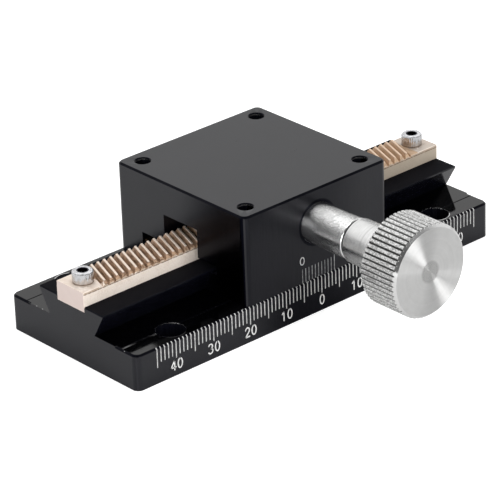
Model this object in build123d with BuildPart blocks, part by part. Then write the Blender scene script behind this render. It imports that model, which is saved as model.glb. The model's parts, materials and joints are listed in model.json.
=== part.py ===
from build123d import *
from math import acos, atan, cos, degrees, pi, radians, tan
import os

# Rack-and-pinion dovetail stage, in millimetres, +Z up.
# X runs along the rail, and the scale and the knob are on the -Y side.
# The origin is the centre of the base's underside.

# Base plate
base_length = 100.0
base_width = 40.0
plate_height = 8.0
plate_corner_radius = 1.5
plate_edge_break = 0.4
floor_half_width = 13.5  # inside this the floor was milled after the edges were broken
mill_line_y = 15.0
mill_line_width = 0.3
mill_line_depth = 0.12
mount_hole_spacing = 75.0
mount_hole_inset = 4.0  # from the plate's long edges
mount_hole_diameter = 3.4
mount_counterbore_diameter = 6.2
mount_counterbore_depth = 3.3

# Dovetail rail, one piece with the plate
rail_width = 20.0
rail_height = 5.4
rail_flank_angle = 60.0
rail_edge_flat = 0.4
rail_end_break = 0.25

# Rack
rack_width = 8.5
rack_seat_depth = 1.2
rack_height = 5.1
rack_pad_thickness = 4.4
rack_pad_length = 6.2
rack_fit = 0.02
rack_edge_slope_width = 0.6
rack_edge_slope_height = 0.9

# Gearing
normal_module = 0.5
pressure_angle = 20.0
helix_angle = 20.0
pinion_teeth = 14
pinion_width = 8.4
backlash = 0.08
root_clearance = 0.125
flank_steps = (0.0, 0.45, 1.0)  # where a flank's points lie between base circle and tip

# Rack screws, M2.5 socket head
rack_screw_inset = 3.5
rack_screw_diameter = 2.5
rack_screw_length = 8.0
rack_screw_head_diameter = 4.5
rack_screw_head_height = 2.5
rack_screw_socket = 2.0
rack_screw_socket_depth = 1.3
rack_screw_clearance = 0.15
rack_screw_edge_break = 0.25
rack_tap_spare = 0.4

# Carriage
carriage_length = 40.0
carriage_height = 20.15
carriage_corner_radius = 1.5
carriage_edge_break = 0.4
carriage_x = -0.4
slide_gap = 0.05
flank_gap = 0.03
slot_headroom = 0.9
slot_relief_width = 1.0
slot_relief_height = 1.9
gib_space = 2.4
channel_width = 10.4
channel_headroom = 1.6
table_hole_inset = 4.0
table_hole_diameter = 3.3
table_hole_depth = 10.0
table_hole_mouth = 3.7

# Gib strip and its set screws
gib_gap = 0.05
gib_floor_gap = 0.2
gib_height = 4.3
gib_end_recess = 0.5
gib_screw_end_inset = 5.0
gib_screw_pair_pitch = 9.0
set_screw_diameter = 3.0
set_screw_socket = 1.5
set_screw_socket_depth = 1.4
gib_screw_length = 6.0
thread_gap = 0.05

# Pinion shaft and its bearings
shaft_diameter = 5.0
journal_diameter = 4.0
journal_length = 7.1
bearing_gap = 0.03
seat_gap = 0.02
axial_gap = 0.05
washer_thickness = 0.8
washer_diameter = 7.0
sleeve_diameter = 9.0
sleeve_projection = 11.6
sleeve_edge_break = 0.2
bush_diameter = 7.0
bush_flange_diameter = 8.8
bush_flange_thickness = 0.9
bush_length = 6.4
lock_screw_length = 5.0
lock_screw_inset = 4.5

# Knob
friction_washer_thickness = 0.5
friction_washer_diameter = 8.7
hub_diameter = 9.7
hub_length = 11.1
hub_edge_break = 0.35
head_diameter = 20.0
head_length = 9.4
head_front_break = 0.62
knurl_count = 56
knurl_depth = 0.32
knurl_groove_width = 0.56
shaft_in_knob = 14.0
shaft_edge_break = 0.3
knob_screw_length = 2.5
knob_screw_inset = 4.8

# Heights and places that follow from the sizes above
flank_run = tan(radians(90 - rail_flank_angle))
rail_top = plate_height + rail_height
rail_edge_bottom = rail_top - rail_edge_flat
neck_half_width = rail_width / 2 - (rail_edge_bottom - plate_height) * flank_run
rack_bottom = rail_top - rack_seat_depth
rack_tip = rack_bottom + rack_height
pad_top = rack_bottom + rack_pad_thickness

transverse_module = normal_module / cos(radians(helix_angle))
transverse_pressure = atan(tan(radians(pressure_angle)) / cos(radians(helix_angle)))
tooth_pitch = pi * transverse_module
helix_run = tan(radians(helix_angle))
rack_root = rack_tip - 2 * normal_module - root_clearance
pitch_height = rack_tip - normal_module
pitch_radius = pinion_teeth * transverse_module / 2
tip_radius = pitch_radius + normal_module
root_radius = pitch_radius - normal_module - root_clearance
flank_radius = pitch_radius * cos(transverse_pressure)
axis_z = pitch_height + pitch_radius

carriage_width = base_width  # flush at the front, where the scale and the vernier meet
carriage_bottom = plate_height + slide_gap
carriage_top = carriage_bottom + carriage_height
slot_top = rail_top + slot_headroom
slot_near_wall = rail_width / 2 + slot_relief_width
gib_wall = rail_width / 2 + gib_space
screw_head_top = pad_top + rack_screw_head_height
channel_top = screw_head_top + channel_headroom
front_face = -carriage_width / 2
rear_face = carriage_width / 2

pinion_half = pinion_width / 2
washer_inner = pinion_half + axial_gap
washer_outer = washer_inner + washer_thickness
sleeve_inner_end = -(washer_outer + axial_gap)
sleeve_outer_end = front_face - sleeve_projection
sleeve_bore = shaft_diameter + 2 * bearing_gap
bush_front = washer_outer + axial_gap
bush_shoulder = bush_front + bush_flange_thickness
bush_bore = journal_diameter + 2 * bearing_gap
friction_washer_y = sleeve_outer_end - axial_gap
hub_rear = friction_washer_y - friction_washer_thickness
head_rear = hub_rear - hub_length
head_front = head_rear - head_length
shaft_end = hub_rear - shaft_in_knob
gib_screw_tip = gib_wall - gib_gap
gib_bottom = carriage_bottom + gib_floor_gap
gib_top = gib_bottom + gib_height
gib_screw_z = (gib_bottom + gib_top) / 2
table_hole_spacing_x = carriage_length - 2 * table_hole_inset
table_hole_spacing_y = carriage_width - 2 * table_hole_inset
outer_gib_screw = carriage_length / 2 - gib_screw_end_inset
inner_gib_screw = outer_gib_screw - gib_screw_pair_pitch
gib_screw_offsets = (-outer_gib_screw, -inner_gib_screw, inner_gib_screw, outer_gib_screw)

os.makedirs("parts", exist_ok=True)


def shaft_plane(y):
    # Square to the pinion axis, facing the knob's end
    return Plane(origin=(carriage_x, y, axis_z), x_dir=(1, 0, 0), z_dir=(0, -1, 0))


def flank_y(z, gap=0.0):
    # Distance of the rail's flank from the centre plane, moved out by a gap square to it
    return neck_half_width + (z - plate_height) * flank_run + gap / cos(radians(90 - rail_flank_angle))


def tooth_half_angle(radius):
    # Half the angle that a pinion tooth takes at a radius, with an involute flank
    def involute(angle):
        return tan(angle) - angle

    at_pitch = pi / (2 * pinion_teeth) - backlash / (2 * pitch_radius)
    local_pressure = acos(min(1.0, flank_radius / radius))
    return at_pitch + involute(transverse_pressure) - involute(local_pressure)


def pinion_outline(turn):
    # Points round the pinion in a section, with one tooth pointing down when turn is 0
    flank_height = tip_radius - flank_radius
    radii = [root_radius] + [flank_radius + share * flank_height for share in flank_steps]
    points = []
    for tooth in range(pinion_teeth):
        middle = -pi / 2 + 2 * pi * tooth / pinion_teeth - turn
        rising = [(radius, middle - tooth_half_angle(radius)) for radius in radii]
        falling = [(radius, middle + tooth_half_angle(radius)) for radius in reversed(radii)]
        for radius, angle in rising + falling:
            points.append(Vector(radius, 0).rotate(Axis.Z, degrees(angle)))
    return points


# Base: plate and dovetail rail milled from one bar
rack_hole_spacing = base_length - 2 * rack_screw_inset
rack_tap_depth = rack_screw_length - rack_pad_thickness + rack_tap_spare
with BuildPart() as base_rail:
    with BuildSketch(Plane.XY):
        RectangleRounded(base_length, base_width, plate_corner_radius)
    extrude(amount=plate_height)
    chamfer(base_rail.faces().sort_by(Axis.Z)[-1].edges(), plate_edge_break)
    with BuildSketch(Plane.XY):
        Rectangle(base_length, 2 * floor_half_width)
    extrude(amount=plate_height)
    with BuildSketch(Plane.YZ.offset(-base_length / 2)):
        with BuildLine():
            Polyline(
                (neck_half_width, plate_height),
                (rail_width / 2, rail_edge_bottom),
                (rail_width / 2, rail_top),
                (-rail_width / 2, rail_top),
                (-rail_width / 2, rail_edge_bottom),
                (-neck_half_width, plate_height),
                close=True,
            )
        make_face()
    extrude(amount=base_length)
    chamfer(base_rail.faces().sort_by(Axis.Z)[-1].edges().filter_by(Axis.Y), rail_end_break)
    with BuildSketch(Plane.XY.offset(rail_top)):
        Rectangle(base_length, rack_width + 2 * rack_fit)
    extrude(amount=-rack_seat_depth, mode=Mode.SUBTRACT)
    with BuildSketch(Plane.XY.offset(plate_height)):
        with Locations((0, mill_line_y), (0, -mill_line_y)):
            Rectangle(base_length - 2 * plate_edge_break, mill_line_width)
    extrude(amount=-mill_line_depth, mode=Mode.SUBTRACT)
    with Locations(Plane.XY.offset(plate_height)):
        with GridLocations(mount_hole_spacing, base_width - 2 * mount_hole_inset, 2, 2):
            CounterBoreHole(mount_hole_diameter / 2, mount_counterbore_diameter / 2, mount_counterbore_depth)
    with Locations(Plane.XY.offset(rack_bottom)):
        with GridLocations(rack_hole_spacing, 0, 2, 1):
            Hole(rack_screw_diameter / 2 + thread_gap, depth=rack_tap_depth)
base_rail.part.label = "base_rail"
export_step(base_rail.part, "parts/base_rail.step")

# Rack: a bar with helical teeth between two plain pads
gaps_each_side = int((base_length / 2 - rack_pad_length) / tooth_pitch)
flank_half_run = (pitch_height - rack_root) * tan(transverse_pressure)
root_half_width = tooth_pitch / 4 + flank_half_run
tip_half_width = tooth_pitch / 4 - normal_module * tan(transverse_pressure)
band_half_length = gaps_each_side * tooth_pitch + (tooth_pitch / 2 - root_half_width)
tooth_sink = 0.3
slope_bottom = rack_tip - rack_edge_slope_height
half_rack = rack_width / 2
lean = helix_run * half_rack
with BuildPart() as rack:
    with BuildSketch(Plane.XY.offset(rack_bottom)):
        Rectangle(base_length, rack_width)
    extrude(amount=rack_root - rack_bottom)
    with BuildSketch(Plane.XY.offset(rack_bottom)):
        for side in (1, -1):
            with BuildLine():
                Polyline(
                    (side * base_length / 2, half_rack),
                    (side * band_half_length + lean, half_rack),
                    (side * band_half_length - lean, -half_rack),
                    (side * base_length / 2, -half_rack),
                    close=True,
                )
            make_face()
    extrude(amount=rack_pad_thickness)
    with BuildSketch(Plane.XZ.offset(half_rack)) as tooth_ends:
        for number in range(-gaps_each_side, gaps_each_side):
            crest = (number + 0.5) * tooth_pitch - lean
            with BuildLine():
                Polyline(
                    (crest - root_half_width, rack_root - tooth_sink),
                    (crest - root_half_width, rack_root),
                    (crest - tip_half_width, rack_tip),
                    (crest + tip_half_width, rack_tip),
                    (crest + root_half_width, rack_root),
                    (crest + root_half_width, rack_root - tooth_sink),
                    close=True,
                )
            make_face()
    extrude(amount=rack_width / cos(radians(helix_angle)), dir=(helix_run, 1, 0))
    with BuildSketch(Plane.YZ.offset(-base_length / 2)):
        for side in (1, -1):
            with BuildLine():
                Polyline(
                    (side * half_rack, slope_bottom),
                    (side * half_rack, rack_tip),
                    (side * (half_rack - rack_edge_slope_width), rack_tip),
                    close=True,
                )
            make_face()
    extrude(amount=base_length, mode=Mode.SUBTRACT)
    with Locations(Plane.XY.offset(pad_top)):
        with GridLocations(rack_hole_spacing, 0, 2, 1):
            Hole(rack_screw_diameter / 2 + rack_screw_clearance)
rack.part.label = "rack"
export_step(rack.part, "parts/rack.step")

# Rack screws
for name, side in (("rack_screw_left", -1), ("rack_screw_right", 1)):
    seat = Plane.XY.offset(pad_top).move(Location((side * rack_hole_spacing / 2, 0, 0)))
    with BuildPart() as rack_screw:
        with BuildSketch(seat):
            Circle(rack_screw_head_diameter / 2)
        extrude(amount=rack_screw_head_height)
        chamfer(rack_screw.faces().sort_by(Axis.Z)[-1].edges(), rack_screw_edge_break)
        with BuildSketch(seat):
            Circle(rack_screw_diameter / 2)
        extrude(amount=-rack_screw_length)
        with BuildSketch(seat.offset(rack_screw_head_height)):
            RegularPolygon(radius=rack_screw_socket / 2, side_count=6, major_radius=False)
        extrude(amount=-rack_screw_socket_depth, mode=Mode.SUBTRACT)
    rack_screw.part.label = name
    export_step(rack_screw.part, f"parts/{name}.step")

# Carriage: a block with the dovetail slot, the rack channel and the pinion bore
lock_screw_y = front_face + lock_screw_inset
with BuildPart() as carriage:
    with BuildSketch(Plane((carriage_x, 0, carriage_bottom))):
        RectangleRounded(carriage_length, carriage_width, carriage_corner_radius)
    extrude(amount=carriage_height)
    chamfer(carriage.faces().sort_by(Axis.Z)[-1].edges(), carriage_edge_break)
    with BuildSketch(Plane.YZ.offset(carriage_x - carriage_length / 2)):
        with BuildLine():
            Polyline(
                (-flank_y(carriage_bottom, flank_gap), carriage_bottom),
                (-flank_y(slot_top - slot_relief_height, flank_gap), slot_top - slot_relief_height),
                (-slot_near_wall, slot_top - slot_relief_height),
                (-slot_near_wall, slot_top),
                (-channel_width / 2, slot_top),
                (-channel_width / 2, channel_top),
                (channel_width / 2, channel_top),
                (channel_width / 2, slot_top),
                (gib_wall, slot_top),
                (gib_wall, carriage_bottom),
                close=True,
            )
        make_face()
    extrude(amount=carriage_length, mode=Mode.SUBTRACT)
    with BuildSketch(shaft_plane(front_face)):
        Circle(sleeve_diameter / 2 + seat_gap)
    extrude(amount=front_face - bush_shoulder, mode=Mode.SUBTRACT)
    with BuildSketch(shaft_plane(bush_shoulder)):
        Circle(bush_diameter / 2 + seat_gap)
    extrude(amount=-bush_length, mode=Mode.SUBTRACT)
    with Locations(Plane((carriage_x, 0, carriage_top))):
        with GridLocations(table_hole_spacing_x, table_hole_spacing_y, 2, 2):
            CounterSinkHole(table_hole_diameter / 2, table_hole_mouth / 2, table_hole_depth, 90)
    with BuildSketch(Plane((carriage_x, lock_screw_y, carriage_bottom))):
        Circle(set_screw_diameter / 2 + thread_gap)
    extrude(amount=axis_z - carriage_bottom, mode=Mode.SUBTRACT)
    with BuildSketch(Plane(origin=(carriage_x, rear_face, gib_screw_z), x_dir=(-1, 0, 0), z_dir=(0, 1, 0))):
        with Locations(*[(-offset_x, 0) for offset_x in gib_screw_offsets]):
            Circle(set_screw_diameter / 2 + thread_gap)
    extrude(amount=gib_wall - rear_face, mode=Mode.SUBTRACT)
carriage.part.label = "carriage"
export_step(carriage.part, "parts/carriage.step")

# Gib strip: fills the far side of the slot and bears on the rail's far flank
gib_length = carriage_length - 2 * gib_end_recess
with BuildPart() as gib_strip:
    with BuildSketch(Plane.YZ.offset(carriage_x - gib_length / 2)):
        with BuildLine():
            Polyline(
                (flank_y(gib_bottom, flank_gap), gib_bottom),
                (flank_y(gib_top, flank_gap), gib_top),
                (gib_screw_tip, gib_top),
                (gib_screw_tip, gib_bottom),
                close=True,
            )
        make_face()
    extrude(amount=gib_length)
gib_strip.part.label = "gib_strip"
export_step(gib_strip.part, "parts/gib_strip.step")


def set_screw(tip_plane, length):
    # Headless screw whose tip lies in the plane and whose socket faces the plane's normal
    with BuildPart() as screw:
        with BuildSketch(tip_plane):
            Circle(set_screw_diameter / 2)
        extrude(amount=length)
        with BuildSketch(tip_plane.offset(length)):
            RegularPolygon(radius=set_screw_socket / 2, side_count=6, major_radius=False)
        extrude(amount=-set_screw_socket_depth, mode=Mode.SUBTRACT)
    return screw


# Gib set screws, from the carriage's rear face
for number, offset_x in enumerate(gib_screw_offsets, start=1):
    tip = Plane(origin=(carriage_x + offset_x, gib_screw_tip, gib_screw_z), x_dir=(1, 0, 0), z_dir=(0, 1, 0))
    gib_screw = set_screw(tip, gib_screw_length)
    gib_screw.part.label = f"gib_screw_{number}"
    export_step(gib_screw.part, f"parts/gib_screw_{number}.step")

# Screw that holds the bearing sleeve, from the carriage's underside
sleeve_bottom = axis_z - sleeve_diameter / 2
lock_tip = Plane(origin=(carriage_x, lock_screw_y, sleeve_bottom), x_dir=(1, 0, 0), z_dir=(0, 0, -1))
lock_screw = set_screw(lock_tip, lock_screw_length)
lock_screw.part.label = "sleeve_lock_screw"
export_step(lock_screw.part, "parts/sleeve_lock_screw.step")

# Bearing sleeve: a tube that carries the shaft out through the front face
with BuildPart() as bearing_sleeve:
    with BuildSketch(shaft_plane(sleeve_inner_end)):
        Circle(sleeve_diameter / 2)
    extrude(amount=sleeve_inner_end - sleeve_outer_end)
    chamfer(bearing_sleeve.faces().sort_by(Axis.Y)[0].edges(), sleeve_edge_break)
    with BuildSketch(shaft_plane(sleeve_inner_end)):
        Circle(sleeve_bore / 2)
    extrude(amount=sleeve_inner_end - sleeve_outer_end, mode=Mode.SUBTRACT)
bearing_sleeve.part.label = "bearing_sleeve"
export_step(bearing_sleeve.part, "parts/bearing_sleeve.step")

# Flanged bush behind the pinion
with BuildPart() as rear_bush:
    with BuildSketch(shaft_plane(bush_shoulder)):
        Circle(bush_flange_diameter / 2)
    extrude(amount=bush_flange_thickness)
    with BuildSketch(shaft_plane(bush_shoulder)):
        Circle(bush_diameter / 2)
    extrude(amount=-(bush_length - axial_gap))
    with BuildSketch(shaft_plane(bush_front)):
        Circle(bush_bore / 2)
    extrude(amount=-(bush_flange_thickness + bush_length), mode=Mode.SUBTRACT)
rear_bush.part.label = "rear_bush"
export_step(rear_bush.part, "parts/rear_bush.step")


def ring(start_y, thickness, outer_diameter, inner_diameter):
    # Flat washer on the pinion axis, from start_y towards the knob
    with BuildPart() as washer:
        with BuildSketch(shaft_plane(start_y)):
            Circle(outer_diameter / 2)
            Circle(inner_diameter / 2, mode=Mode.SUBTRACT)
        extrude(amount=thickness)
    return washer


# Thrust washers each side of the pinion, and the friction washer behind the knob
for name, start_y, thickness, outer, inner in (
    ("front_thrust_washer", -washer_inner, washer_thickness, washer_diameter, shaft_diameter),
    ("rear_thrust_washer", washer_outer, washer_thickness, washer_diameter, journal_diameter),
    (
        "friction_washer",
        friction_washer_y,
        friction_washer_thickness,
        friction_washer_diameter,
        shaft_diameter,
    ),
):
    washer = ring(start_y, thickness, outer, inner + 2 * bearing_gap)
    washer.part.label = name
    export_step(washer.part, f"parts/{name}.step")

# Pinion and shaft turned and cut from one bar
with BuildSketch(shaft_plane(pinion_half)) as pinion_end:
    with BuildLine():
        Polyline(*pinion_outline((carriage_x - helix_run * pinion_half) / pitch_radius), close=True)
    make_face()
helical_teeth = Solid.extrude_linear_with_rotation(
    pinion_end.sketch.faces()[0],
    center=(carriage_x, pinion_half, axis_z),
    normal=(0, -pinion_width, 0),
    angle=-degrees(helix_run * pinion_width / pitch_radius),
)
with BuildPart() as pinion_shaft:
    add(helical_teeth)
    with BuildSketch(shaft_plane(-pinion_half)):
        Circle(shaft_diameter / 2)
    extrude(amount=-pinion_half - shaft_end)
    with BuildSketch(shaft_plane(pinion_half)):
        Circle(journal_diameter / 2)
    extrude(amount=-journal_length)
    chamfer(pinion_shaft.edges().filter_by(GeomType.CIRCLE).group_by(Axis.Y)[0], shaft_edge_break)
pinion_shaft.part.label = "pinion_shaft"
export_step(pinion_shaft.part, "parts/pinion_shaft.step")

# Knob: hub and straight-knurled head in one turned piece
head_radius = head_diameter / 2
with BuildPart() as knob:
    with BuildSketch(shaft_plane(head_rear)):
        Circle(head_radius)
        with PolarLocations(head_radius, knurl_count):
            Polygon(
                (-knurl_depth, 0),
                (knurl_depth, -knurl_groove_width),
                (knurl_depth, knurl_groove_width),
                align=None,
                mode=Mode.SUBTRACT,
            )
    extrude(amount=head_length)
    with BuildSketch(Plane((carriage_x, 0, axis_z), x_dir=(0, 1, 0), z_dir=(1, 0, 0))):
        with BuildLine():
            Polyline(
                (head_front, head_radius - head_front_break),
                (head_front, head_radius),
                (head_front + head_front_break, head_radius),
                close=True,
            )
        make_face()
    revolve(axis=Axis((carriage_x, 0, axis_z), (0, 1, 0)), mode=Mode.SUBTRACT)
    with BuildSketch(shaft_plane(hub_rear)):
        Circle(hub_diameter / 2)
    extrude(amount=hub_length)
    chamfer(knob.edges().filter_by(GeomType.CIRCLE).group_by(Axis.Y)[-1], hub_edge_break)
    with BuildSketch(shaft_plane(hub_rear)):
        Circle(shaft_diameter / 2 + seat_gap)
    extrude(amount=shaft_in_knob + axial_gap, mode=Mode.SUBTRACT)
    with BuildSketch(Plane(origin=(carriage_x, hub_rear - knob_screw_inset, axis_z), z_dir=(0, 0, -1))):
        Circle(set_screw_diameter / 2 + thread_gap)
    extrude(amount=hub_diameter / 2, mode=Mode.SUBTRACT)
knob.part.label = "knob"
export_step(knob.part, "parts/knob.step")

# Set screw that holds the knob on the shaft
knob_tip = Plane(
    origin=(carriage_x, hub_rear - knob_screw_inset, axis_z - shaft_diameter / 2),
    x_dir=(1, 0, 0),
    z_dir=(0, 0, -1),
)
knob_screw = set_screw(knob_tip, knob_screw_length)
knob_screw.part.label = "knob_set_screw"
export_step(knob_screw.part, "parts/knob_set_screw.step")
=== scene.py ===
import bmesh
import bpy
import json
from math import cos, pi, radians, sin
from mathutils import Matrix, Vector


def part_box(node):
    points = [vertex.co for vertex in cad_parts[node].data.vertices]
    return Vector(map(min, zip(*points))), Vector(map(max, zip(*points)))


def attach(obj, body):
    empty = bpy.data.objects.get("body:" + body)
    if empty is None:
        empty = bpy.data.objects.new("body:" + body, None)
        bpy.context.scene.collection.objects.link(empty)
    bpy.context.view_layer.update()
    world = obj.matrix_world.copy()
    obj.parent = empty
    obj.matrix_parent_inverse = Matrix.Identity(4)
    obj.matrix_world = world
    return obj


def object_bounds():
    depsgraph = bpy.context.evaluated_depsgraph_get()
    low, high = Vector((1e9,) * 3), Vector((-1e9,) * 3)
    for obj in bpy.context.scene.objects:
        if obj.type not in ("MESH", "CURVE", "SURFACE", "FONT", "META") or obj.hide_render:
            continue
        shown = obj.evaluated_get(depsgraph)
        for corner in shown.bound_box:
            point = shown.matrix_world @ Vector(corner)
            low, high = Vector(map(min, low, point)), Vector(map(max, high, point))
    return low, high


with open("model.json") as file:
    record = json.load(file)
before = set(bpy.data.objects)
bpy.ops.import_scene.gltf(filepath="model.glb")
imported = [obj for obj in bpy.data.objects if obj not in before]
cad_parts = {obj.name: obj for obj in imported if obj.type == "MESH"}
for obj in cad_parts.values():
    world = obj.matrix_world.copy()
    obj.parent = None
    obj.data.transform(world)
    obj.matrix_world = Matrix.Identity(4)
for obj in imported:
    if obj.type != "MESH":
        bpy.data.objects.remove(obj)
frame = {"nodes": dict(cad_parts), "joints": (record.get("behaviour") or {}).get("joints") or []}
cadLow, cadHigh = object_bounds()
nodes = frame["nodes"]
mm = 0.001

baseLow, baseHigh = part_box("base_rail")
carriageLow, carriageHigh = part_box("carriage")
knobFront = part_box("knob")[0].y
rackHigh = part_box("rack")[1]
screwLow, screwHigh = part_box("rack_screw_right")
carriageMiddle = (carriageLow.x + carriageHigh.x) / 2
plateThick = 8 * mm
plateTop = baseLow.z + plateThick
spin = next(joint for joint in frame["joints"] if joint["name"] == "knob_spin")
shaftAxis = Vector(spin["pos_m"])  # a point on the pinion's axis, which runs along Y
forward = Vector((0, -1, 0))  # out of a front face
print("frame:", len(nodes), "nodes")


class Field:
    # a value on its way through a shader, so that sums of such values read as plain maths
    def __init__(self, socket):
        self.socket = socket

    def maths(self, operation, first, second):
        made = self.socket.node.id_data.nodes.new("ShaderNodeMath")
        made.operation = operation
        feed(made.inputs[0], first)
        feed(made.inputs[1], second)
        return Field(made.outputs[0])

    def other(self, name):  # another output of the same node
        return Field(self.socket.node.outputs[name])

    def __add__(self, value):
        return self.maths("ADD", self, value)

    def __radd__(self, value):
        return self.maths("ADD", value, self)

    def __sub__(self, value):
        return self.maths("SUBTRACT", self, value)

    def __rsub__(self, value):
        return self.maths("SUBTRACT", value, self)

    def __mul__(self, value):
        return self.maths("MULTIPLY", self, value)

    def __rmul__(self, value):
        return self.maths("MULTIPLY", value, self)

    def __pow__(self, value):
        return self.maths("POWER", self, value)

    def __gt__(self, value):
        return self.maths("GREATER_THAN", self, value)

    def __lt__(self, value):
        return self.maths("LESS_THAN", self, value)


def feed(socket, value):
    if isinstance(value, Field):
        socket.id_data.links.new(value.socket, socket)
    else:
        socket.default_value = value


def reach(first, second):  # how far out a point is, from its two distances
    return (first * first + second * second) ** 0.5


class Shading:
    # a node tree and the one way to add a node to it
    def __init__(self, tree):
        self.tree = tree

    def node(self, kind, settings, inputs, output=0):
        made = self.tree.nodes.new(kind)
        for name, value in settings.items():
            setattr(made, name, value)
        for name, value in inputs.items():
            feed(made.inputs[name], value)
        return Field(made.outputs[output])

    def parts(self, vector):
        across = self.node("ShaderNodeSeparateXYZ", {}, {0: vector}, "X")
        return across, across.other("Y"), across.other("Z")

    def absolute(self, value):
        return self.node("ShaderNodeMath", {"operation": "ABSOLUTE"}, {0: value})

    def sine(self, value):
        return self.node("ShaderNodeMath", {"operation": "SINE"}, {0: value})

    def larger(self, first, second):
        return self.node("ShaderNodeMath", {"operation": "MAXIMUM"}, {0: first, 1: second})

    def smooth(self, value, low, high):
        return self.node("ShaderNodeMapRange", {"interpolation_type": "SMOOTHSTEP"},
                         {"Value": value, "From Min": low, "From Max": high})

    def mixed(self, share, first, second):
        shades = [(*shade, 1) if isinstance(shade, tuple) else shade for shade in (first, second)]
        return self.node("ShaderNodeMix", {"data_type": "RGBA"}, {0: share, 6: shades[0], 7: shades[1]}, 2)


class Finish(Shading):
    # a material with its Principled shader, seen from the piece's own place and normal
    def __init__(self, name, surface):
        self.material = bpy.data.materials.new(name)
        self.material.use_nodes = True
        super().__init__(self.material.node_tree)
        self.shader = self.tree.nodes["Principled BSDF"]
        for socket, value in surface.items():
            self.put(socket, value)
        self.place = self.node("ShaderNodeTexCoord", {}, {}, "Object")
        self.facing = self.place.other("Normal")

    def put(self, socket, value):
        feed(self.shader.inputs[socket], value)

    def noise(self, stretch, scale, detail=3.0, roughness=0.55):
        # stretch says how much finer the pattern is along each axis
        where = self.node("ShaderNodeVectorMath", {"operation": "MULTIPLY"}, {0: self.place, 1: stretch})
        return self.node("ShaderNodeTexNoise", {},
                         {"Vector": where, "Scale": scale, "Detail": detail, "Roughness": roughness})

    def rings(self, along, scale, detail=4.0, roughness=0.7):
        # uneven turning marks, a millimetre of travel being one unit of noise
        line = self.node("ShaderNodeCombineXYZ", {}, {0: along * (1 / mm)})
        return self.node("ShaderNodeTexNoise", {},
                         {"Vector": line, "Scale": scale, "Detail": detail, "Roughness": roughness})

    def bump(self, height, strength, distance):
        self.put("Normal", self.node("ShaderNodeBump", {},
                                     {"Height": height, "Strength": strength, "Distance": distance}))


# black anodising over milled aluminium, with what differs between the two pieces that wear it
anodising = {
    # painted shade: each piece's front and ends mirror less than its top, so they render darker
    "base_rail": {"paintedFrontShade": 0.05, "frontRoughness": 0.16, "paintedEndShade": 0.2, "wornAbove": 0.7},
    "carriage": {"paintedFrontShade": 0.5, "frontRoughness": 0.3, "paintedEndShade": 0.0, "wornAbove": 0.76},
    "colour": (0.0010, 0.0012, 0.0038),
    "greyer": (0.0050, 0.0052, 0.0085),
    "bare": (0.55, 0.55, 0.55),  # aluminium where an edge is worn through
    "ior": 1.42,
    "squarely": 0.8,  # an end, a top or a front looks at least this squarely along its axis
    "upwards": 0.3,  # a chamfer looks up at least this much
    # each grain: how much finer it is along each axis, and its scale
    "endGrain": ((1, 9, 0.25), 700),
    "topGrain": ((0.3, 9, 1), 600),
    "frontGrain": ((9, 1, 0.3), 500),
    "cloud": ((1, 1, 1), 160),
    "chips": ((1, 1, 1), 1100, 2.0),
    "grainShare": 0.7,  # of the greying, and the clouds have the rest
    "greying": (0.3, 0.7),
    "grainSpread": 0.1,
    "grainBump": 0.1,
    "bumpDepth": 0.03 * mm,
    "roughness": 0.3,
    "endRoughness": 0.24,
    "chamferMetal": 0.9,  # a metallic black mirrors less than a coated one
}

# what the base has of its own
plate = {
    # the milled floor each side of the rail is the glossiest face
    "floorWithin": 0.3 * mm,
    "floorRoughness": 0.045,
    "floorSpread": 0.02,
    "floorColour": (0.0004, 0.0004, 0.0006),
    # and the rail's own top the dullest
    "ledgeAbove": 1 * mm,
    "ledgeRoughness": 0.8,
    "ledgeMetal": 0.9,
    # a painted highlight: a lighter, rougher streak along the cutter's line near one end, where that line
    # catches the light
    "paintedStreakLine": -15.2 * mm,
    "paintedStreakHalf": 0.35 * mm,
    "paintedStreakStretch": (-38 * mm, -45 * mm),
    "paintedStreakPatches": (0.35, 0.55),
    "paintedStreakColour": (0.12, 0.12, 0.12),
    "paintedStreakRoughness": 0.4,
    # painted shade: the front mirrors less where the knob stands before it, for the knob's shadow and its
    # dark reflection there
    "paintedKnobShade": 0.8,
    "middleBegins": (-22 * mm, -7 * mm),
    "middleEnds": (0, 30 * mm),
    # the top edges at the ends are worn a little more
    "endEdge": 0.2 * mm,
    "endWear": 0.05,
}

# and what the carriage has
block = {
    "paintedCornerShade": 1.0,  # painted shade: its ends mirror less towards the front
    "cornerFront": (-2 * mm, 13 * mm),
    "paintedFrontSheen": 0.35,  # and painted sheen: its front mirrors more towards the right
    "cornerRight": (2 * mm, 14 * mm),
    "boreShade": (4.8 * mm, 5.3 * mm),  # painted shade: a dark ring where the sleeve comes out
}

# bare metal round the mouths of four like holes: the settings place one, and the others mirror it
counterbore = {
    "x": 37.5 * mm,
    "y": 16 * mm,
    "radius": 3.1 * mm,
    "halfWidth": 0.2 * mm,
    "level": 0,
    "halfHeight": 0.2 * mm,
}

tableHole = {
    "x": 16 * mm,
    "y": 16 * mm,
    "radius": 1.65 * mm,
    "halfWidth": 0.3 * mm,
    "level": -0.42 * mm,
    "halfHeight": 0.17 * mm,
}


def boreRing(finish, s, x, y, height):
    away = reach(finish.absolute(x) - s["x"], finish.absolute(y) - s["y"]) - s["radius"]
    onWall = finish.absolute(away) < s["halfWidth"]
    return onWall * (finish.absolute(height - s["level"]) < s["halfHeight"])


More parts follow.
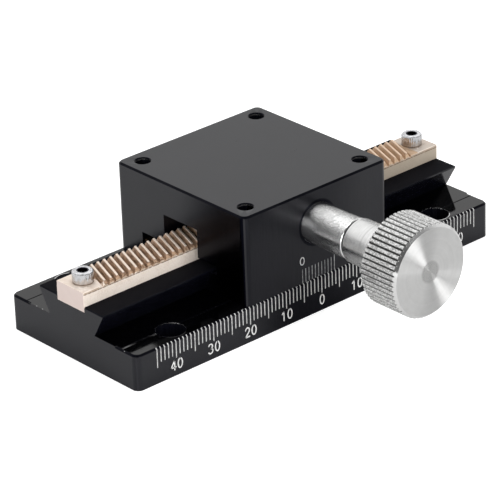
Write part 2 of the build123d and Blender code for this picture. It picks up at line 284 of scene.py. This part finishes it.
def blackAnodising(name, piece):
    s = anodising
    own = s[piece]
    finish = Finish(name, {"IOR": s["ior"]})
    x, y, z = finish.parts(finish.place)
    nx, ny, nz = (finish.absolute(part) for part in finish.parts(finish.facing))
    onEnd = nx > s["squarely"]
    onTop = nz > s["squarely"]
    onFront = ny > s["squarely"]
    oblique = (1 - onEnd) * (1 - onTop) * (1 - onFront)
    chamfered = oblique * (nz > s["upwards"])
    cloud = finish.noise(*s["cloud"])
    chips = finish.noise(*s["chips"])
    grain = finish.noise(*s["endGrain"]) * onEnd + finish.noise(*s["topGrain"]) * onTop
    grain = grain + finish.noise(*s["frontGrain"]) * onFront + cloud * oblique
    mottle = grain * s["grainShare"] + cloud * (1 - s["grainShare"])
    colour = finish.mixed(finish.smooth(mottle, *s["greying"]), s["colour"], s["greyer"])
    roughness = s["roughness"] * (1 - onEnd - onFront) + s["endRoughness"] * onEnd
    roughness = roughness + own["frontRoughness"] * onFront + (grain - 0.5) * s["grainSpread"]
    # chamfers mirror less, and the fronts and ends mirror less as painted shade
    metal = chamfered * s["chamferMetal"] + onFront * own["paintedFrontShade"] + onEnd * own["paintedEndShade"]
    worn = chamfered * (chips > own["wornAbove"])
    if piece == "base_rail":
        onFloor = onTop * (finish.absolute(z - plateTop) < plate["floorWithin"])
        onLedge = onTop * (z > plateTop + plate["ledgeAbove"])
        glossy = plate["floorRoughness"] + (grain - 0.5) * plate["floorSpread"]
        roughness = roughness * (1 - onFloor) + glossy * onFloor
        roughness = roughness + onLedge * (plate["ledgeRoughness"] - s["roughness"])
        colour = finish.mixed(onFloor, colour, plate["floorColour"])
        # painted highlight along the cutter's line
        paintedStreak = onFloor * (finish.absolute(y - plate["paintedStreakLine"]) < plate["paintedStreakHalf"])
        paintedStreak = paintedStreak * finish.smooth(x, *plate["paintedStreakStretch"])
        paintedStreak = paintedStreak * finish.smooth(cloud, *plate["paintedStreakPatches"])
        colour = finish.mixed(paintedStreak, colour, plate["paintedStreakColour"])
        roughness = roughness + paintedStreak * plate["paintedStreakRoughness"]
        # painted shade on the base's front, between these two stretches
        middle = finish.smooth(x, *plate["middleBegins"]) * (1 - finish.smooth(x, *plate["middleEnds"]))
        metal = metal + onLedge * plate["ledgeMetal"] + onFront * middle * plate["paintedKnobShade"]
        atEnd = onTop * (finish.absolute(x) > baseHigh.x - plate["endEdge"])
        worn = worn + atEnd * (chips > own["wornAbove"] - plate["endWear"])
        rim = boreRing(finish, counterbore, x, y, z - plateTop)
    else:
        # painted shade on the ends towards the front, and painted sheen on the front towards the right
        metal = metal + onEnd * finish.smooth(0 - y, *block["cornerFront"]) * block["paintedCornerShade"]
        metal = metal - onFront * finish.smooth(x, *block["cornerRight"]) * block["paintedFrontSheen"]
        # painted shade: a dark ring on the front round the sleeve
        fromShaft = reach(x - shaftAxis.x, z - shaftAxis.z)
        metal = metal + onFront * (1 - finish.smooth(fromShaft, *block["boreShade"]))
        rim = boreRing(finish, tableHole, x - carriageMiddle, y, z - carriageHigh.z)
    worn = finish.larger(worn, rim)
    finish.put("Base Color", finish.mixed(worn, colour, s["bare"]))
    finish.put("Roughness", roughness)
    finish.put("Metallic", finish.larger(metal, worn))
    finish.bump(grain, s["grainBump"], s["bumpDepth"])
    return finish.material


# cut bronze of the rack
bronze = {
    "colour": (0.88, 0.79, 0.71),
    "tarnish": (0.76, 0.65, 0.56),
    "tarnishing": (0.4, 0.75),
    "cloud": ((1, 1, 1), 420, 4.0),
    "speck": ((1, 1, 1), 2600, 2.0),
    "sawn": ((0.4, 1, 6), 900),
    "streak": ((1, 0.35, 3), 1100, 4.0, 0.7),
    "squarely": 0.9,  # a long side or a tip looks at least this squarely along its axis
    "endSquarely": 0.98,
    "flankBelow": 0.85,  # and a tooth's own faces look less squarely to the side than this
    "bandHalf": 44.3 * mm,  # half the length of the toothed stretch
    "tipColour": (0.90, 0.79, 0.69),
    "gapColour": (0.46, 0.30, 0.195),
    "gapStain": (0.10, 0.055, 0.03),
    "staining": (0.42, 0.68),
    "gapMetal": 0.35,  # as cut, the flanks are duller than the tips
    "gapDepth": (0.02 * mm, 0.25 * mm),  # the gaps darken over this depth below the tips: partly the cut flanks' own tone, partly painted shade in the hollows
    # painted shade: the rack's ends are drawn darker than its long sides
    "shadedEndColour": (0.74, 0.64, 0.60),
    "shade": (0.36, 0.295, 0.205),  # painted shade: the long sides darken towards the far end, where the carriage shades them
    "shadeStretch": (0, 30 * mm),
    "shadeShare": 0.7,
    "shadedFarTeeth": (0.68, 0.49, 0.33),  # painted shade towards the far end: the teeth evened to one golden tone, and the pad darker
    "shadedFarPad": (0.50, 0.44, 0.385),
    "farStretch": (20 * mm, 30 * mm),
    "farShare": 0.6,
    "line": (0.16, 0.10, 0.06),  # a sawn line runs along the long sides under the teeth
    "lineLevel": 1.28 * mm,
    "lineHalf": 0.09 * mm,
    "lineWithin": 0.1 * mm,
    "linePatches": (0.3, 0.55),
    "band": (0.50, 0.39, 0.30),  # the sides above the line
    "bandPatches": (0.3, 0.5),
    "roughness": 0.62,
    "roughnessSpread": 0.2,
    "sideRoughness": 0.8,  # the long sides are as cast, pale and matt
    "sideMetal": 0.2,
    "sideSpeck": 0.6,
    "sawnBump": 0.4,
    "cloudBump": 0.2,
    "speckBump": 0.4,
    "bumpStrength": 0.3,
    "bumpDepth": 0.08 * mm,
}


def rackBronze(name):
    s = bronze
    finish = Finish(name, {"Metallic": 1.0})
    x, y, z = finish.parts(finish.place)
    nx, ny, nz = (finish.absolute(part) for part in finish.parts(finish.facing))
    cloud = finish.noise(*s["cloud"])
    speck = finish.noise(*s["speck"])
    onSide = ny > s["squarely"]
    onTip = nz > s["squarely"]
    teeth = (finish.absolute(x) < s["bandHalf"]) * (ny < s["flankBelow"]) * (nx < s["endSquarely"])
    below = rackHigh.z - z
    depth = finish.smooth(below, *s["gapDepth"])
    spotted = cloud * (1 - onSide * s["sideSpeck"]) + speck * onSide * s["sideSpeck"]
    plain = finish.mixed(finish.smooth(spotted, *s["tarnishing"]), s["colour"], s["tarnish"])
    plain = finish.mixed(teeth * onTip, plain, s["tipColour"])
    stained = finish.smooth(finish.noise(*s["streak"]), *s["staining"])
    gap = finish.mixed(stained, s["gapColour"], s["gapStain"])
    # painted shade deepening into the tooth gaps, with the flanks' own duller tone
    shaded = finish.mixed(teeth * depth, plain, gap)
    shaded = finish.mixed(nx > s["endSquarely"], shaded, s["shadedEndColour"])
    # painted shade on the long sides towards the far end
    shade = onSide * finish.smooth(x, *s["shadeStretch"]) * s["shadeShare"]
    shaded = finish.mixed(shade, shaded, s["shade"])
    # painted shade on the teeth and pad towards the far end
    far = finish.smooth(x, *s["farStretch"]) * s["farShare"]
    shaded = finish.mixed(far * teeth, shaded, s["shadedFarTeeth"])
    shaded = finish.mixed(far * (1 - teeth) * onTip, shaded, s["shadedFarPad"])
    band = onSide * (below < s["lineLevel"]) * finish.smooth(cloud, *s["bandPatches"])
    shaded = finish.mixed(band, shaded, s["band"])
    line = (finish.absolute(below - s["lineLevel"]) < s["lineHalf"]) * finish.smooth(speck, *s["linePatches"])
    line = line * (finish.absolute(y) > rackHigh.y - s["lineWithin"])
    finish.put("Base Color", finish.mixed(line, shaded, s["line"]))
    roughness = s["roughness"] + (s["sideRoughness"] - s["roughness"]) * onSide
    finish.put("Roughness", roughness + (cloud - 0.5) * s["roughnessSpread"])
    finish.put("Metallic", 1 - onSide * (1 - s["sideMetal"]) - teeth * depth * (1 - s["gapMetal"]))
    height = finish.noise(*s["sawn"]) * s["sawnBump"] + cloud * s["cloudBump"] + speck * s["speckBump"]
    finish.bump(height, s["bumpStrength"], s["bumpDepth"])
    return finish.material


# stainless steel turned about the pinion's axis
steel = {
    # rings says how deep the turning marks are, and grain how much of the colour is in specks
    "bearing_sleeve": {"roughness": 0.1, "rings": 2.0, "grain": 0.6,
                       "colour": (0.93, 0.93, 0.925), "darker": (0.66, 0.66, 0.655)},
    "knob": {"roughness": 0.12, "rings": 1.6, "grain": 0.0,
             "colour": (0.80, 0.80, 0.795), "darker": (0.58, 0.58, 0.575)},
    "pinion_shaft": {"roughness": 0.2, "rings": 0.2, "grain": 0.0,
                     "colour": (0.80, 0.80, 0.795), "darker": (0.58, 0.58, 0.575)},
    "cloud": ((1, 1, 1), 500, 4.0),
    "speck": ((1, 0.6, 1), 3800, 2.0),
    "cloudShare": 0.15,
    "mottle": (0.38, 0.62),
    "endSquarely": 0.9,
    "bandScale": 2.2,
    "bandSpread": 0.1,
    "ringPitch": 0.13 * mm,
    "ringDepth": 0.003 * mm,
}

# the knob's rim: straight knurls, and the chamfer before them
knurl = {
    "radius": 9.5 * mm,
    "pitted": (0.36, 0.36, 0.355),
    "grooveShade": (0.1, 0.1, 0.098),
    "grooveRise": (9.76 * mm, 9.95 * mm),  # the radii between which a groove's painted shade fades out
    "roughness": 0.34,
    "roughnessSpread": 0.2,
    "speckDepth": 0.09 * mm,
    "chamferLength": 0.63 * mm,
    "chamferRoughness": 0.1,
    "chamferColour": (0.66, 0.66, 0.655),
}


def turnedSteel(name, piece):
    s = steel
    own = s[piece]
    finish = Finish(name, {"Metallic": 1.0})
    x, y, z = finish.parts(finish.place)
    radius = reach(x - shaftAxis.x, z - shaftAxis.z)
    endOn = finish.absolute(finish.parts(finish.facing)[1]) > s["endSquarely"]
    along = y * (1 - endOn) + radius * endOn  # the way the tool travelled
    wave = finish.sine(along * (2 * pi / s["ringPitch"]))
    bands = finish.rings(along, s["bandScale"])
    cloud = finish.noise(*s["cloud"])
    speck = finish.noise(*s["speck"])
    chamfer = (y < knobFront + knurl["chamferLength"]) * (1 - endOn)
    knurled = (radius > knurl["radius"]) * (1 - endOn) * (1 - chamfer)
    turned = 1 - knurled - chamfer
    mottle = cloud * s["cloudShare"] + bands * (1 - s["cloudShare"] - own["grain"]) + speck * own["grain"]
    plain = finish.mixed(finish.smooth(mottle, *s["mottle"]), own["darker"], own["colour"])
    plain = finish.mixed(chamfer, plain, knurl["chamferColour"])
    ridged = finish.mixed(finish.smooth(speck, *s["mottle"]), knurl["pitted"], own["colour"])
    # painted shade at the bottoms of the knurl's grooves
    ridged = finish.mixed(finish.smooth(radius, *knurl["grooveRise"]), knurl["grooveShade"], ridged)
    finish.put("Base Color", finish.mixed(knurled, plain, ridged))
    smooth = own["roughness"] + (bands - 0.5) * s["bandSpread"]
    rough = knurl["roughness"] + (cloud - 0.5) * knurl["roughnessSpread"]
    finish.put("Roughness", smooth * turned + rough * knurled + knurl["chamferRoughness"] * chamfer)
    height = wave * (own["rings"] * s["ringDepth"]) * turned + speck * knurl["speckDepth"] * knurled
    finish.bump(height, 1.0, 1.0)  # the height is in metres
    return finish.material


# the knob's face is turned in rings, so light spreads across them and draws a bow tie
knobFace = {
    "radius": 9.37 * mm,
    "proud": 0.012 * mm,
    "thickness": 0.02 * mm,
    "steps": 96,
    "colour": (0.62, 0.62, 0.615),
    "darker": (0.55, 0.55, 0.545),
    "dull": (0.38, 0.38, 0.375),
    "middle": (2.025 * mm, 2.7 * mm),  # inside this the rings are duller
    "middleGloss": 0.1,
    "cloud": ((1, 1, 1), 500, 4.0),
    "bandScale": 1.6,
    "bandShare": 0.6,
    "bandSpread": 0.08,
    "mottle": (0.3, 0.7),
    "roughness": 0.36,
    "anisotropic": 1.0,
    "turn": 0.25,  # turns the spread of the light from along the rings to across them
    "bumpStrength": 0.05,
    "bumpDepth": 0.02 * mm,
}


def faceSteel():
    s = knobFace
    finish = Finish("turnedFace", {"Metallic": 1.0, "Anisotropic": s["anisotropic"],
                                    "Anisotropic Rotation": s["turn"]})
    x, y = finish.parts(finish.place)[:2]
    radius = reach(x, y)
    bands = finish.rings(radius, s["bandScale"])
    mottle = bands * s["bandShare"] + finish.noise(*s["cloud"]) * (1 - s["bandShare"])
    dull = 1 - finish.smooth(radius, *s["middle"])
    plain = finish.mixed(finish.smooth(mottle, *s["mottle"]), s["darker"], s["colour"])
    finish.put("Base Color", finish.mixed(dull, plain, s["dull"]))
    finish.put("Roughness", s["roughness"] + (bands - 0.5) * s["bandSpread"] - dull * s["middleGloss"])
    finish.bump(bands, s["bumpStrength"], s["bumpDepth"])
    return finish.material


# socket head screws that hold the rack, both folded onto the right one
screw = {
    "colour": (0.86, 0.86, 0.89),
    "side": (0.50, 0.50, 0.51),
    # painted shade: the hollow of the hex socket is drawn near black
    "socket": (0.03, 0.03, 0.045),
    "socketRadius": 1.28 * mm,
    "footShade": (0.22, 0.17, 0.13),  # painted shade and reflection: the head's foot is drawn in the brown of its shade on the rack
    "footRise": (2.05 * mm, 2.5 * mm),  # below the top of the head
    "cloud": ((1, 1, 1), 1400),
    "mottle": (0.35, 0.65),
    "sideShare": 0.7,
    "knurls": 36,
    "knurlDepth": 0.02 * mm,
    "knurlRadius": 2.1 * mm,
    "roughness": 0.16,
    "roughnessSpread": 0.15,
}


def screwSteel(name):
    s = screw
    finish = Finish(name, {"Metallic": 1.0})
    x, y, z = finish.parts(finish.place)
    outX = finish.absolute(x) - (screwLow.x + screwHigh.x) / 2
    outY = y - (screwLow.y + screwHigh.y) / 2
    radius = reach(outX, outY)
    cloud = finish.noise(*s["cloud"])
    angle = finish.node("ShaderNodeMath", {"operation": "ARCTAN2"}, {0: outY, 1: outX})
    onSide = radius > s["knurlRadius"]
    bright = finish.smooth(cloud, *s["mottle"]) * (1 - onSide * s["sideShare"])
    colour = finish.mixed(bright, s["side"], s["colour"])
    # painted shade at the head's foot
    colour = finish.mixed(finish.smooth(screwHigh.z - z, *s["footRise"]), colour, s["footShade"])
    # painted shade in the socket
    finish.put("Base Color", finish.mixed(radius < s["socketRadius"], colour, s["socket"]))
    finish.put("Roughness", s["roughness"] + (cloud - 0.5) * s["roughnessSpread"])
    finish.bump(finish.sine(angle * s["knurls"]) * onSide * s["knurlDepth"], 1.0, 1.0)
    return finish.material


# metals that hardly show, mottled between two shades
bareMetal = {"metal": 1.0, "mottle": (0.3, 0.7), "bump": 0.1, "bumpDepth": 0.04 * mm}
plainMetals = {
    "washerSteel": {
        "pieces": ("front_thrust_washer", "rear_thrust_washer"),
        "colour": (0.55, 0.55, 0.54), "darker": (0.4125, 0.4125, 0.405),
        "roughness": 0.35, "spread": 0.15, "cloud": ((1, 1, 1), 700, 4.0),
    },
    "oiledBronze": {
        "pieces": ("rear_bush", "gib_strip"),
        "colour": (0.24, 0.16, 0.10), "darker": (0.18, 0.12, 0.075),
        "roughness": 0.4, "spread": 0.2, "cloud": ((1, 1, 1), 700, 4.0),
    },
    "blackScrewSteel": {
        "pieces": ("gib_screw_1", "gib_screw_2", "gib_screw_3", "gib_screw_4", "knob_set_screw",
                   "sleeve_lock_screw"),
        "colour": (0.05, 0.05, 0.052), "darker": (0.0375, 0.0375, 0.039),
        "roughness": 0.45, "spread": 0.2, "cloud": ((1, 1, 1), 900, 4.0),
    },
}

# paint in the engraved lines and figures, worn to a darker shade in patches
paintCoat = {"metal": 0.0, "roughness": 0.55, "spread": 0.2, "cloud": ((1, 1, 0.5), 2600),
             "mottle": (0.35, 0.62), "bump": 0.2, "bumpDepth": 0.02 * mm}
paints = {
    "scaleLinePaint": {"colour": (0.58, 0.58, 0.57), "darker": (0.38, 0.38, 0.38)},
    "figurePaint": {"colour": (0.76, 0.76, 0.75), "darker": (0.60, 0.60, 0.59)},
    # the vernier's line and figure are drawn dimmer than the scale's, partly as painted shade where the knob
    # shades them
    "vernierPaintAndShade": {"colour": (0.38, 0.38, 0.38), "darker": (0.14, 0.14, 0.15)},
    "vernierFigurePaintAndShade": {"colour": (0.62, 0.62, 0.62), "darker": (0.4, 0.4, 0.41)},
}


def mottled(name, s):
    finish = Finish(name, {"Metallic": s["metal"]})
    cloud = finish.noise(*s["cloud"])
    finish.put("Base Color", finish.mixed(finish.smooth(cloud, *s["mottle"]), s["darker"], s["colour"]))
    finish.put("Roughness", s["roughness"] + (cloud - 0.5) * s["spread"])
    finish.bump(cloud, s["bump"], s["bumpDepth"])
    return finish.material


def markPaint(name):
    return mottled(name, {**paintCoat, **paints[name]})


polymer = {
    "colour": (0.02, 0.02, 0.022),
    "darker": (0.008, 0.008, 0.009),
    "roughness": 0.5,
    "spread": 0.2,
    "cloud": ((1, 1, 1), 900),
    "bump": 0.15,
    "bumpDepth": 0.03 * mm,
}


def blackPolymer(name):
    s = polymer
    finish = Finish(name, {"Metallic": 0.0})
    cloud = finish.noise(*s["cloud"])
    finish.put("Base Color", finish.mixed(cloud, s["darker"], s["colour"]))
    finish.put("Roughness", s["roughness"] + (cloud - 0.5) * s["spread"])
    finish.bump(cloud, s["bump"], s["bumpDepth"])
    return finish.material


def dress(material, *names):
    for name in names:
        slots = nodes[name].data.materials
        slots.clear()
        slots.append(material)


dress(blackAnodising("blackAnodisedBase", "base_rail"), "base_rail")
dress(blackAnodising("blackAnodisedCarriage", "carriage"), "carriage")
dress(rackBronze("cutBronze"), "rack")
dress(turnedSteel("turnedSleeve", "bearing_sleeve"), "bearing_sleeve")
dress(turnedSteel("turnedKnob", "knob"), "knob")
dress(turnedSteel("groundShaft", "pinion_shaft"), "pinion_shaft")
dress(screwSteel("brightScrewSteel"), "rack_screw_left", "rack_screw_right")
for name, metal in plainMetals.items():
    dress(mottled(name, {**bareMetal, **metal}), *metal["pieces"])
dress(blackPolymer("blackPolymer"), "friction_washer")
print("finishes:", len(bpy.data.materials))


def placed(name, data):
    made = bpy.data.objects.new(name, data)
    bpy.context.scene.collection.objects.link(made)
    return made


def meshPiece(name, mesh, material, body):
    bmesh.ops.recalc_face_normals(mesh, faces=mesh.faces)
    data = bpy.data.meshes.new(name)
    mesh.to_mesh(data)
    mesh.free()
    data.materials.append(material)
    piece = placed(name, data)
    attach(piece, body)
    return piece


def makeFace():
    s = knobFace
    disc = bmesh.new()
    bmesh.ops.create_cone(disc, cap_ends=True, segments=s["steps"], radius1=s["radius"], radius2=s["radius"],
                          depth=s["thickness"])
    piece = meshPiece("knob_face", disc, faceSteel(), "knob")
    turn = forward.to_track_quat("Z", "Y").to_matrix().to_4x4()
    turn.translation = Vector((shaftAxis.x, knobFront - s["proud"] + s["thickness"] / 2, shaftAxis.z))
    piece.matrix_world = turn


# marks: thin strips of paint that fill engraved lines
roundTurns = (30, 60, 85)  # degrees round a line's rounded end at which it has a section


def addStrip(mesh, sections, s):
    # a section is a centre, the way across it, the way out of the face, and half its width
    rings = []
    for centre, across, outward, half in sections:
        corners = (
            centre - across * half + outward * s["proud"],
            centre + across * half + outward * s["proud"],
            centre + across * half - outward * s["depth"],
            centre - across * half - outward * s["depth"],
        )
        rings.append([mesh.verts.new(corner) for corner in corners])
    for first, second in zip(rings, rings[1:]):
        for k in range(4):
            mesh.faces.new((first[k], second[k], second[(k + 1) % 4], first[(k + 1) % 4]))
    mesh.faces.new(rings[0])
    mesh.faces.new(list(reversed(rings[-1])))


def roundEnded(points, half):
    # the points of a line with its ends drawn out to a half circle, each with its half width
    path = [(Vector(point), half) for point in points]
    first, second = Vector(points[0]), Vector(points[1])
    last, before = Vector(points[-1]), Vector(points[-2])
    for turn in roundTurns:
        further, width = half * sin(radians(turn)), half * cos(radians(turn))
        path.insert(0, (first + (first - second).normalized() * further, width))
        path.append((last + (last - before).normalized() * further, width))
    return path


def faceStroke(mesh, points, half, faceY, s):
    # a line drawn on a face that looks along -Y, from points as (x, z)
    path = roundEnded(points, half)
    sections = []
    for k, (point, width) in enumerate(path):
        ahead = path[min(k + 1, len(path) - 1)][0]
        behind = path[max(k - 1, 0)][0]
        way = (ahead - behind).normalized()
        sections.append((Vector((point.x, faceY, point.y)), Vector((way.y, 0, -way.x)), forward, width))
    addStrip(mesh, sections, s)


def arc(centreX, centreZ, radiusX, radiusZ, start, end, steps=16):
    turns = [radians(start + (end - start) * k / steps) for k in range(steps + 1)]
    return [(centreX + radiusX * cos(turn), centreZ + radiusZ * sin(turn)) for turn in turns]


# an engraver's figures in a cell one wide and one high
figures = {
    "0": [arc(0.5, 0.5, 0.45, 0.5, 90, 450, 32)],
    "1": [[(0.22, 0.76), (0.58, 1.0)], [(0.58, 1.0), (0.58, 0.0)]],
    "2": [arc(0.5, 0.72, 0.42, 0.28, 170, -40) + [(0.06, 0.0)], [(0.06, 0.0), (0.94, 0.0)]],
    "3": [arc(0.46, 0.76, 0.40, 0.24, 155, -90), arc(0.46, 0.26, 0.46, 0.26, 90, -155)],
    "4": [[(0.74, 0.0), (0.74, 1.0)], [(0.74, 1.0), (0.0, 0.26)], [(0.0, 0.26), (1.0, 0.26)]],
}


def writeFigures(mesh, text, middle, faceY, s):
    half, width, gap = s["figureHalf"], s["figureWidth"], s["figureGap"]
    wide, high = width - 2 * half, s["figureHeight"] - 2 * half
    bottom = s["figureBottom"] + half
    start = middle - (len(text) * width + (len(text) - 1) * gap) / 2 + half
    for place, figure in enumerate(text):
        left = start + place * (width + gap)
        for line in figures[figure]:
            faceStroke(mesh, [(left + u * wide, bottom + v * high) for u, v in line], half, faceY, s)


scale = {
    "zero": 0.4 * mm,  # the scale stands a little to the right of the base's middle
    "reach": 45,  # millimetres each side of zero
    "numbered": 40,  # and how far of that has figures
    "lineHalf": 0.12 * mm,
    "top": 7.93 * mm,
    "chamfer": 0.4 * mm,
    "halfTurn": 22.5,  # half the turn from the front onto the chamfer
    "shortBottom": 4.7 * mm,
    "fiveBottom": 3.65 * mm,
    "tenBottom": 4.1 * mm,
    "figureBottom": 1.3 * mm,
    "figureHeight": 2.4 * mm,
    "figureWidth": 1.55 * mm,
    "figureGap": 0.25 * mm,
    "figureHalf": 0.15 * mm,
    "proud": 0.012 * mm,
    "depth": 0.05 * mm,
}


def scaleLine(mesh, x, bottom, s):
    # up the front of the base and over its chamfer
    across, half = Vector((1, 0, 0)), s["lineHalf"]
    slant = (forward + Vector((0, 0, 1))).normalized()
    corner = (forward + slant).normalized() / cos(radians(s["halfTurn"]))
    edge = plateTop - s["chamfer"]
    rise = s["top"] - edge
    sections = []
    for turn in reversed(roundTurns):
        end = Vector((x, baseLow.y, bottom - half * sin(radians(turn))))
        sections.append((end, across, forward, half * cos(radians(turn))))
    sections.append((Vector((x, baseLow.y, bottom)), across, forward, half))
    sections.append((Vector((x, baseLow.y, edge)), across, corner, half))
    sections.append((Vector((x, baseLow.y + rise, edge + rise)), across, slant, half))
    addStrip(mesh, sections, s)


def makeScale():
    s = scale
    marks = bmesh.new()
    labels = bmesh.new()
    for number in range(-s["reach"], s["reach"] + 1):
        x = s["zero"] + number * mm
        if number % 10 == 0:
            scaleLine(marks, x, s["tenBottom"], s)
            if abs(number) <= s["numbered"]:
                writeFigures(labels, str(abs(number)), x, baseLow.y, s)
        elif number % 5 == 0:
            scaleLine(marks, x, s["fiveBottom"], s)
        else:
            scaleLine(marks, x, s["shortBottom"], s)
    meshPiece("scale_marks", marks, markPaint("scaleLinePaint"), "base")
    meshPiece("scale_figures", labels, markPaint("figurePaint"), "base")


vernier = {
    "lines": 11,
    "pitch": 0.9 * mm,
    "lineHalf": 0.08 * mm,
    "bottom": 8.25 * mm,
    "top": 11.2 * mm,
    "lastTop": 11.5 * mm,
    "figureBottom": 12.2 * mm,
    "figureHeight": 1.9 * mm,
    "figureWidth": 1.45 * mm,
    "figureGap": 0,
    "figureHalf": 0.12 * mm,
    "proud": 0.01 * mm,
    "depth": 0.05 * mm,
}


def makeVernier():
    s = vernier
    marks = bmesh.new()
    first = carriageMiddle - s["pitch"] * (s["lines"] - 1) / 2
    for number in range(s["lines"]):
        x = first + number * s["pitch"]
        top = s["lastTop"] if number == s["lines"] - 1 else s["top"]
        faceStroke(marks, [(x, s["bottom"]), (x, top)], s["lineHalf"], carriageLow.y, s)
    meshPiece("vernier_marks", marks, markPaint("vernierPaintAndShade"), "carriage")
    figure = bmesh.new()
    writeFigures(figure, "0", first, carriageLow.y, s)
    meshPiece("vernier_figure", figure, markPaint("vernierFigurePaintAndShade"), "carriage")


# machined edges are never sharp: each visible piece gets a fine break that catches the light
edgeBreaks = {
    "widths": {
        "base_rail": 0.07 * mm,
        "carriage": 0.07 * mm,
        "rack": 0.1 * mm,
        "rack_screw_left": 0.1 * mm,
        "rack_screw_right": 0.1 * mm,
        "bearing_sleeve": 0.05 * mm,
    },
    "weldWithin": 0.001 * mm,
    "segments": 2,
    "sharperThan": 28,  # degrees
    "flatWeight": 80,  # the shading of a flat face stays flat up to its break
}


def breakEdges(name, width):
    s = edgeBreaks
    piece = nodes[name]
    for polygon in piece.data.polygons:
        polygon.use_smooth = True
    weld = piece.modifiers.new("weld", "WELD")
    weld.merge_threshold = s["weldWithin"]
    bevel = piece.modifiers.new("edgeBreak", "BEVEL")
    bevel.width = width
    bevel.segments = s["segments"]
    bevel.limit_method = "ANGLE"
    bevel.angle_limit = radians(s["sharperThan"])
    bevel.use_clamp_overlap = True
    flat = piece.modifiers.new("flatFaces", "WEIGHTED_NORMAL")
    flat.weight = s["flatWeight"]
    flat.keep_sharp = False


for name, width in edgeBreaks["widths"].items():
    breakEdges(name, width)
print("edges broken:", len(edgeBreaks["widths"]))

makeScale()
makeVernier()
makeFace()
print("added: scale, vernier and the knob's turned face")


# the camera stands where the photograph was taken from
cameraPlace = {
    "azimuth": -41.279,
    "elevation": 26.195,
    "roll": -1.966,
    "distance": 0.685887,
    "sideways": -0.001357,
    "upwards": 0.006392,
    "lens": 232.659,
    "sensor": 36,
    "nearest": 0.01,
}


def makeCamera():
    s = cameraPlace
    azimuth, elevation, roll = (radians(s[angle]) for angle in ("azimuth", "elevation", "roll"))
    back = Vector((sin(azimuth) * cos(elevation), -cos(azimuth) * cos(elevation), sin(elevation)))
    right = Vector((cos(azimuth), sin(azimuth), 0))
    up = back.cross(right)
    rolledRight = right * cos(roll) + up * sin(roll)
    rolledUp = up * cos(roll) - right * sin(roll)
    data = bpy.data.cameras.new("camera")
    data.lens = s["lens"]
    data.sensor_width = s["sensor"]
    data.clip_start = s["nearest"]
    camera = placed("camera", data)
    turned = camera.matrix_world.to_3x3()
    turned.col[0], turned.col[1], turned.col[2] = rolledRight, rolledUp, back
    camera.matrix_world = turned.to_4x4()
    camera.location = back * s["distance"] + rolledRight * s["sideways"] + rolledUp * s["upwards"]
    bpy.context.scene.camera = camera


paper = {
    "size": 6.0,
    "below": 0.02 * mm,
    "albedo": 0.8,
    "roughness": 0.9,
    "seen": 0.6,  # what the camera sees of the floor is lifted, so that the paper stays white
    "mirrored": 0.05,
}


def makeFloor():
    s = paper
    half = s["size"] / 2
    data = bpy.data.meshes.new("floor")
    corners = [(-half, -half, 0), (half, -half, 0), (half, half, 0), (-half, half, 0)]
    data.from_pydata(corners, [], [(0, 1, 2, 3)])
    floor = placed("floor", data)
    floor.location.z = cadLow.z - s["below"]
    finish = Finish("whitePaper", {"Base Color": (s["albedo"], s["albedo"], s["albedo"], 1),
                                   "Roughness": s["roughness"], "Specular IOR Level": 0.0,
                                   "Emission Strength": 1.0})
    direct = finish.node("ShaderNodeLightPath", {}, {}, "Is Camera Ray")
    mirrored = direct.other("Is Glossy Ray") + direct.other("Is Transmission Ray")
    lift = direct * s["seen"] + mirrored * s["mirrored"]
    finish.put("Emission Color", finish.mixed(lift, (0, 0, 0), (1, 1, 1)))
    data.materials.append(finish.material)


# a room that is bright behind the stage and above it, and darker in front
room = {
    "behind": 1.0,
    "front": 0.15,
    "way": (0.45, 0.9),  # x and y of the way to the bright side
    "fade": (-0.45, 0.25),
    "above": 0.45,
    "ceiling": (0.55, 0.95),
}


def makeRoom():
    s = room
    world = bpy.data.worlds.new("studioWorld")
    world.use_nodes = True
    air = Shading(world.node_tree)
    direct = air.node("ShaderNodeLightPath", {}, {}, "Is Camera Ray")
    across, along, height = air.parts(air.node("ShaderNodeTexCoord", {}, {}, "Generated"))
    behind = air.smooth(across * s["way"][0] + along * s["way"][1], *s["fade"])
    around = behind * (s["behind"] - s["front"]) + s["front"] + air.smooth(height, *s["ceiling"]) * s["above"]
    background = world.node_tree.nodes["Background"]
    feed(background.inputs["Color"], (1, 1, 1, 1))
    feed(background.inputs["Strength"], direct + (1 - direct) * around)
    bpy.context.scene.world = world


lamps = {
    "front": {"way": (0.09, -0.92, 0.38), "distance": 0.6, "size": (0.22, 0.4), "power": 1.8},
    "left": {"way": (-0.9, -0.4, 0.24), "distance": 0.6, "size": (0.46, 0.4), "power": 2.6},
}


def makeLamp(name, lamp):
    data = bpy.data.lights.new(name, "AREA")
    data.shape = "RECTANGLE"
    data.size, data.size_y = lamp["size"]
    data.energy = lamp["power"]
    way = Vector(lamp["way"]).normalized()
    shining = placed(name, data)
    shining.location = (cadLow + cadHigh) / 2 + way * lamp["distance"]
    shining.rotation_euler = way.to_track_quat("Z", "Y").to_euler()


makeCamera()
makeFloor()
makeRoom()
for name, lamp in lamps.items():
    makeLamp(name, lamp)
bpy.context.scene.view_settings.view_transform = "Standard"
print("studio: camera, floor, room and", len(lamps), "lamps")
